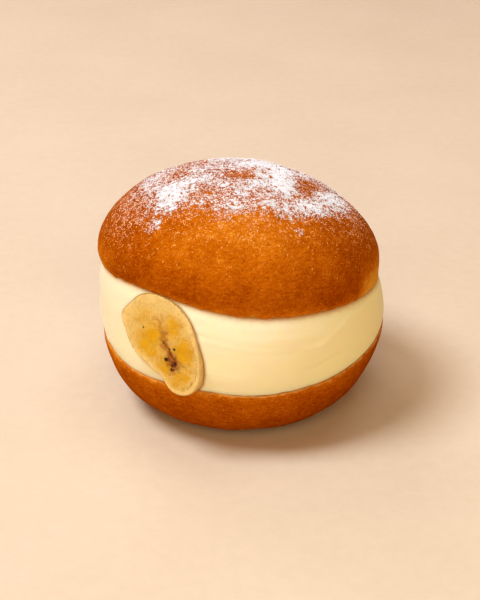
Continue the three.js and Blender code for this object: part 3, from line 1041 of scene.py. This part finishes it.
def dusted_dome():
    """The upper half's finished grid and its marks: the golden tone is high in front, where it is
    painted light, low at the sides and high again in the pale band under the widest line at either
    side. Sugar crusts where it lies thick, and flecks are most on the crown and down either side."""
    radius, height = upper_profile()
    grid = upper_point(rings(upper_sectors), radius, height)
    x, y = grid[..., 0], grid[..., 1]
    density = sugar_density(x, y) * ramp(height, upper_curl_height, upper_curl_height + 6.0)
    relief = 0.08 * unevenness(grid, 15.0, 41) + 0.025 * unevenness(grid, 4.5, 42)
    crusting = 0.20 * np.clip(density - 0.4, 0, 1) * unevenness(grid, 1.7, 43, 60)
    off_lip = ramp(height, upper_lip, upper_lip + 3.0)
    grid = grid + ((relief + crusting) * off_lip)[..., None] * outward(grid)
    grid[..., 2] += sugar_mound(x, y) * (height > upper_curl_height)
    on_lip = (height > 0) * near(height, 2.0)
    grid[..., 2] += on_lip * (0.16 * unevenness(grid, 5.0, 45) + 0.06 * unevenness(grid, 2.0, 46))

    # Painted light: the golden tone is raised in front, where the lamps fall, on top of the crust's
    # own colour.
    gold_and_painted_light = 0.40 + 0.28 * patch(x, y, 1.0, -32.0, 21.0, 12.0)
    gold_and_painted_light = gold_and_painted_light - 0.03 * patch(x, y, 20.0, -25.0, 14.0, 14.0) + 0.05 * ramp(x, 33.0, 41.0)
    gold_and_painted_light = gold_and_painted_light - 0.08 * patch(x, y, -37.0, -14.0, 14.0, 18.0)
    pale_band = 0.72 * ramp(x, 36.5, 41.5) + 0.42 * ramp(x, -36.5, -41.5)
    gold_and_painted_light = gold_and_painted_light + pale_band * near(height, 7.5) - 0.04 * near(height, 9.0) + 0.22 * near(height, 1.8)
    crumb = 0.7 * near(height, 0.3 + 0.12 * unevenness(grid, 3.0, 44)) * (height < 4)
    fleck_and_glint = 0.24 - 0.07 * near(height, 8.0) + 0.20 * within(np.hypot(x / 1.15, y), 34.0, 3.0)
    fleck_and_glint = fleck_and_glint + 0.16 * patch(x, y, -34.0, -10.0, 8.0, 20.0)
    fleck_and_glint = fleck_and_glint + 0.10 * patch(x, y, 36.0, -8.0, 7.0, 16.0)
    marks = {"gold_and_painted_light": gold_and_painted_light, "crumb": crumb, "sugar": density, "fleck_and_glint": fleck_and_glint}
    return give_way(seated(grid)), marks


dome, dome_marks = dusted_dome()
upper_half = closed_skin("upper_half", dome, crust_finish, dome_marks)
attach(upper_half, "root")
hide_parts("top_bun")


# ---- Icing sugar grains ---------------------------------------------------------------------
# The coarser grains and crumbs of the icing sugar, which lie loose on the crust and stand up
# from it. They are thickest on the drifts, and a few smaller ones lie down the sides.

grain_count = 12000
grain_half_sizes = np.array([0.38, 0.19, 0.17])  # along, across and up, for a grain of size 1


def grain_material():
    """White sugar with a cool, slightly cloudy body."""
    dull_white, bright_white = (0.85, 0.83, 0.85, 1.0), (0.90, 0.885, 0.91, 1.0)
    material, place = new_material("icing_sugar")
    cloud = place.grain(1.2, detail=2.0).rise(0.3, 0.7)
    surface(place, {
        "Base Color": cloud.tint(dull_white, bright_white),
        "Roughness": 0.75,
        "Specular IOR Level": 0.1,
        "Subsurface Weight": 0.2,
        "Subsurface Radius": (0.6, 0.55, 0.5),
        "Subsurface Scale": 0.4 * MM,
        "Normal": cloud.relief(0.05),
    })
    return material


def make_grains():
    """Each grain is a lopsided octahedron, flatter below. Cells of the dome's grid are drawn with
    a chance of area * (density - 0.15) ** 1.5. A grain lies anywhere on its cell, turned at
    random, and is larger where the sugar is thick."""
    random = np.random.default_rng(61)
    normal = outward(dome)
    beside = np.roll(dome, -1, 1) - dome
    above = np.roll(dome, -1, 0) - dome
    area = np.linalg.norm(np.cross(beside, above), axis=-1)
    density = dome_marks["sugar"]
    chance = area * np.clip(density - 0.15, 0, 1) ** 1.5 * (normal[..., 2] > 0.1)
    chance[-2:] = 0
    chance = chance.ravel() / chance.sum()
    cell = random.choice(chance.size, grain_count, p=chance)
    along = random.uniform(0, 1, (grain_count, 1)) * beside.reshape(-1, 3)[cell]
    up = random.uniform(0, 1, (grain_count, 1)) * above.reshape(-1, 3)[cell]
    base = dome.reshape(-1, 3)[cell] + along + up
    stand = normal.reshape(-1, 3)[cell]
    size = (0.4 + 0.6 * np.clip(density.ravel()[cell], 0, 1)) * random.uniform(0.6, 1.3, grain_count)

    turn = random.uniform(0, 2 * math.pi, grain_count)[:, None]
    first = np.cross(stand, [0.0, 0.0, 1.0]) + [1e-6, 0, 0]
    first /= np.linalg.norm(first, axis=1, keepdims=True)
    second = np.cross(stand, first)
    long_way = np.cos(turn) * first + np.sin(turn) * second
    short_way = np.cross(stand, long_way)
    axes = np.stack([long_way, short_way, stand], 1)
    corners = np.array([[1, 0, 0], [0, 1, 0], [-1, 0, 0], [0, -1, 0], [0, 0, -0.4], [0, 0, 1]])
    uneven = random.uniform(0.7, 1.3, (grain_count, len(corners), 1))
    local = corners * (size[:, None] * grain_half_sizes)[:, None, :] * uneven
    points = base[:, None] + local @ axes
    foot, head = 4, 5
    sides = [[0, 1, head], [1, 2, head], [2, 3, head], [3, 0, head],
             [1, 0, foot], [2, 1, foot], [3, 2, foot], [0, 3, foot]]
    faces = np.arange(grain_count)[:, None, None] * len(corners) + np.array(sides)
    return add_mesh("icing_sugar_grains", in_frame(points.reshape(-1, 3)),
                    faces.reshape(-1, 3).tolist(), grain_material())


sugar_grains = make_grains()
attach(sugar_grains, "root")
